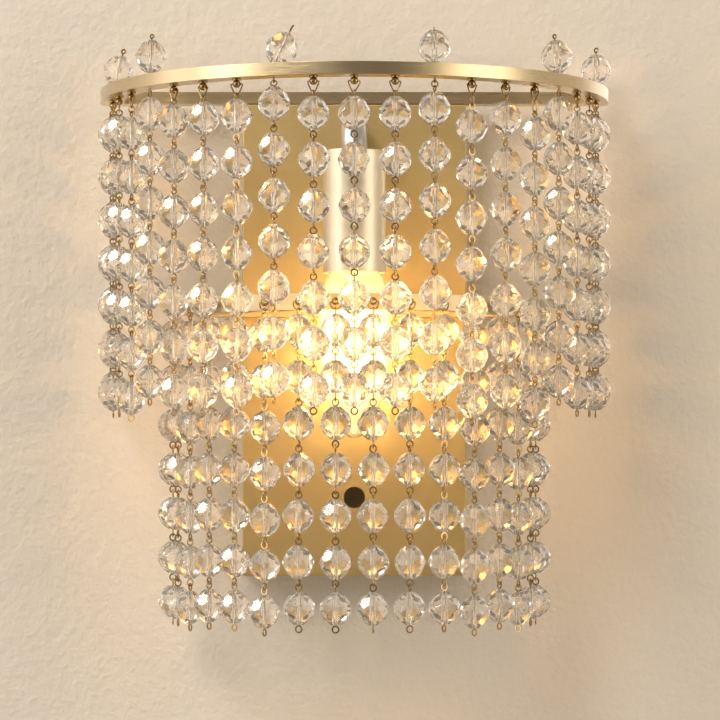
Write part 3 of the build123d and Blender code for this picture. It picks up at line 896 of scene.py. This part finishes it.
ball = drilled_ball()
bpy.ops.mesh.primitive_cylinder_add(
    vertices=24, radius=disc_radius * MM, depth=disc_height * MM, location=(0, 0, 2.05 * MM)
)
disc = bpy.context.object
apply_modifier(disc, "BEVEL", width=0.12 * MM, segments=2, limit_method="ANGLE")
hanging_stud = settle(joined([ball, disc], "hanging_stud"), "hanging_stud", 40)
ball = drilled_ball()
bpy.ops.mesh.primitive_cylinder_add(
    vertices=16, radius=neck_radius * MM, depth=neck_length * MM, location=(0, 2.15 * MM, 0),
    rotation=across_y,
)
front_stud = settle(joined([ball, bpy.context.object], "front_stud"), "front_stud", 40)

hanging_row = [
    copy_of(hanging_stud, hinge_place(node))
    for number, node in upper_names.items() if number not in pinned_strands
]
front_row = [copy_of(front_stud, hinge_place(node)) for node in lower_names.values()]
for row, name, node in (
    (hanging_row, "hanging_studs", "upper_studs"), (front_row, "front_studs", "lower_studs")
):
    fit_out(joined(row, name), "root", "brass_wire", stud_brass, node)

# %% Bend the pins' tips
def tip(kind):
    """The part of a pin above its bead in millimetres: a curl, a small curl or a straight end."""
    if kind == "straight":
        return [(0, 0, 1.0), (0, 0, 3.0), (0.3, 0, 4.6)]
    if kind == "short":
        return [(0, 0, 0.5), (0, 0, 1.0), (0, 0, 1.5)]
    size = 0.95 if kind == "curl" else 0.8
    loop = [(0, 0, 0.6), (0, 0, 1.1), (-0.95, 0.1, 1.9), (-0.85, 0.2, 3.3), (0.25, 0.3, 3.85),
            (1.15, 0.4, 3.0), (0.85, 0.5, 1.75), (0.1, 0.6, 1.6)]
    return [(x * size, y, z * size) for x, y, z in loop]


# %% Set the finials
ring_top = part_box("upper_ring")[1].z / MM
shank_radius = 0.44
eye_top = 0.9
finial_rows = (  # the strand, the bead's lift above the ring, its lean in degrees and the pin's end
    (1, 3.5, 14, "curl"), (5, 1.2, 3, "small curl"), (9, 0, 26, "straight"),
    (13, 0, -1, "short"), (17, 1.2, -6, "small curl"), (21, 3.5, 1, "curl"),
)
finials, pins = [], []
for number, lift, lean, kind in finial_rows:
    hinge = hinge_place(upper_names[number])
    pivot = hinge.translation
    foot = Matrix.Translation((pivot.x, pivot.y, ring_top * MM))
    foot @= Matrix.Rotation(math.radians(lean), 4, "Y")
    spin = Matrix.Rotation(math.radians(chance.gauss(facet_turn, facet_play)), 4, "Z")
    bead_middle = Matrix.Translation((0, 0, (lift + bead_height / 2) * MM))
    finials.append(copy_of(bead, foot @ bead_middle @ spin))
    bead_top = lift + bead_height
    route = [(0, 0, -1), (0, 0, bead_top / 2), *[(x, y, bead_top + z) for x, y, z in tip(kind)]]
    shank = bent_wire("shank", route, shank_radius)
    shank.data.transform(foot)
    below = ring_top - pivot.z / MM
    through_bar = Matrix.Translation((0, 0, (eye_top + below) / 2 * MM))
    through_bar @= Matrix.Diagonal((1.1, 1.1, below - eye_top, 1))
    pins += [shank, copy_of(pin_model, hinge @ through_bar), copy_of(eye_model, hinge)]
finials = joined(finials, "finial_crystals")
only(finials)
bpy.ops.object.shade_flat()
fit_out(finials, "root", "crystal", None, "finial_beads")
pins = joined(pins, "finial_wires")
fit_out(pins, "root", "brass_wire", brass_wire, "finial_pins")

# %% [markdown]
# ## The hidden hardware
# Behind the canopy sit the bracket, the terminal block and their screws, and the holder has its centre
# contact. They show from behind or at a hole's edge only, so they keep their measured solids and get
# proper finishes: zinc plated steel, brass and moulded plastic.

# %% Finish the hidden hardware
hidden = {
    "wall_bracket": zinc, "side_screws": zinc, "ring_screws": zinc, "arm_nut": zinc,
    "earth_screw": brass_wire, "centre_contact": brass_wire, "terminal_block": terminal_plastic,
}
for node, finish in hidden.items():
    piece = frame["nodes"][node]
    piece.data.materials.clear()
    piece.data.materials.append(finish)
    print(node, finish.name)

models = (bead, loop_model, eye_model, pin_model, wide_bail, round_bail, hanging_stud, front_stud)
for model in models:
    bpy.data.objects.remove(model)

# %% [markdown]
# ## The wall
# The wall is warm off-white plaster with a fine grain. It stands just behind the lamp's back and reaches
# far past the picture's edges. It belongs to the picture only, not to the lamp, and only its front is
# seen, so that the lamp can also be looked at from behind.

# %% Plaster the wall
plaster = Finish("wall_plaster")
grain = plaster.noise(260, detail=4)
swell = plaster.noise(90)
cloud = plaster.noise(5)
front = plaster.surface(
    Base_Color=plaster.blend(
        grain * 0.35 + cloud * 0.65, (0.655, 0.583, 0.493), (0.755, 0.684, 0.592)
    ),
    Roughness=0.9,
    Normal=plaster.bump(grain * 0.45 + swell * 0.55, 0.75, 0.0016),
)
sides = plaster.node("ShaderNodeNewGeometry")
unseen = plaster.node("ShaderNodeBsdfTransparent")
plaster.show(plaster.mixed(sides.outputs["Backfacing"], front.outputs[0], unseen.outputs[0]))
wall_gap = 0.3 * MM
bpy.ops.mesh.primitive_plane_add(size=4, location=(0, wall_gap, 0), rotation=across_y)
wall = bpy.context.object
only(wall)
bpy.ops.object.transform_apply(**fully_in)
wall.name = wall.data.name = "wall"
wall.data.materials.append(plaster.material)
print("wall", [round(side, 2) for side in wall.dimensions], "m")

# %% [markdown]
# ## Light
# The room gives soft daylight from the upper left, and it is what puts white rectangles in the beads.
# The bulb adds a warm glow on the canopy behind it and on the inner beads. Two small lamps bring that glow
# closer to the photograph: one washes the canopy and one lights the beads from their front. A weak lamp
# stands behind the wall, for a look at the back, and the wall is told not to stop its light.

# %% Place the lamps
def soft_box(name, place, target, size, watts, colour, hidden_from=()):
    """A rectangular area light turned toward a point. Some kinds of ray can be told not to see it."""
    light = bpy.data.lights.new(name, "AREA")
    light.shape = "RECTANGLE"
    light.size, light.size_y = size
    light.energy = watts
    light.color = colour
    lamp = set_down(name, light)
    lamp.location = place
    lamp.rotation_euler = (Vector(target) - Vector(place)).to_track_quat("-Z", "Y").to_euler()
    for kind in hidden_from:
        setattr(lamp, f"visible_{kind}", False)
    print(name, watts, "W")
    return lamp


lamp_middle = (0, 0, 0)
soft_box(
    "window", (-1.27, -0.30, 1.24), (0, -0.05, 0), (0.6, 0.65), 20, (1.0, 0.98, 0.95), ["transmission"]
)
soft_box("key_light", (-1.0, -1.9, 1.35), lamp_middle, (0.8, 0.8), 20, (1.0, 0.955, 0.885))
soft_box(
    "left_strip", (-1.5, -0.2, 0.2), (0, -0.08, 0.05), (0.4, 1.0), 2, (1.0, 0.96, 0.90), ["diffuse"]
)
soft_box("left_panel", (-1.8, -1.2, 0.3), lamp_middle, (0.9, 1.6), 14, (1.0, 0.95, 0.88))
soft_box("right_panel", (1.8, -1.2, 0.2), lamp_middle, (1.2, 1.8), 18, (1.0, 0.91, 0.78))

# %% Place the bulb's own light
bulb_wash = soft_box(
    "bulb_wash", (0, -0.068, -0.010), (0, 0, -0.016), (0.02, 0.04), 0.32, (1.0, 0.60, 0.25), ["glossy"]
)
bulb_wash.data.spread = math.radians(108)
soft_box(
    "curtain_glow", (0, -0.165, -0.005), (0, 0, -0.005), (0.17, 0.05), 0.10, (1.0, 0.66, 0.30),
    ["camera"],
)
bulb_light = bpy.data.lights.new("bulb_light", "POINT")
bulb_light.energy = 0.25
bulb_light.color = (1.0, 0.54, 0.20)
bulb_light.shadow_soft_size = 12 * MM
set_down("bulb_light", bulb_light).location = (0, arm_y, 0)

# %% Light the back
back_light = soft_box(
    "back_light", (0.9, 1.4, 0.5), lamp_middle, (1.2, 1.2), 4, (1.0, 0.97, 0.93),
    ["camera", "transmission"],
)
only(back_light)
bpy.ops.object.light_linking_blocker_collection_new()
let_through = back_light.light_linking.blocker_collection
let_through.objects.link(wall)
let_through.collection_objects[0].light_linking.link_state = "EXCLUDE"

# %% [markdown]
# ## The room
# A dim room lies in front of the wall, and the metal reflects it. Straight ahead, where the viewer
# stands, it is darker than at the sides.

# %% Shade the room
room_ahead, room_aside = (0.13, 0.11, 0.09), (0.50, 0.455, 0.395)
world = bpy.data.worlds.new("room")
bpy.context.scene.world = world
world.use_nodes = True
sky = world.node_tree
background = sky.nodes["Background"]
direction = sky.nodes.new("ShaderNodeTexCoord")
depth = sky.nodes.new("ShaderNodeSeparateXYZ")
sky.links.new(direction.outputs["Generated"], depth.inputs[0])
toward = sky.nodes.new("ShaderNodeMapRange")
toward.inputs["From Min"].default_value = -0.97
toward.inputs["From Max"].default_value = -0.5
sky.links.new(depth.outputs["Y"], toward.inputs["Value"])
shade = sky.nodes.new("ShaderNodeMix")
shade.data_type = "RGBA"
shade.inputs[6].default_value = (*room_ahead, 1)
shade.inputs[7].default_value = (*room_aside, 1)
sky.links.new(toward.outputs[0], shade.inputs["Factor"])
sky.links.new(shade.outputs[2], background.inputs["Color"])
background.inputs["Strength"].default_value = 1.0
print("room from", room_ahead, "to", room_aside)

# %% [markdown]
# ## The camera
# The picture is taken straight on with a long lens, 1.6 metres from the wall, and the frame is shifted
# to where the lamp sits in the photograph.

# %% Set the camera
camera = bpy.data.cameras.new("camera")
camera.lens = 155.9
camera.sensor_width = 36
camera.shift_x = 0.0079
camera.shift_y = 0.1417
viewer = set_down("camera", camera)
viewer.location = (0, -1.61, -0.062)
viewer.rotation_euler = across_y
bpy.context.scene.camera = viewer
bpy.context.scene.view_settings.view_transform = "Standard"
print("lens", camera.lens, "mm at", [round(number, 3) for number in viewer.location])
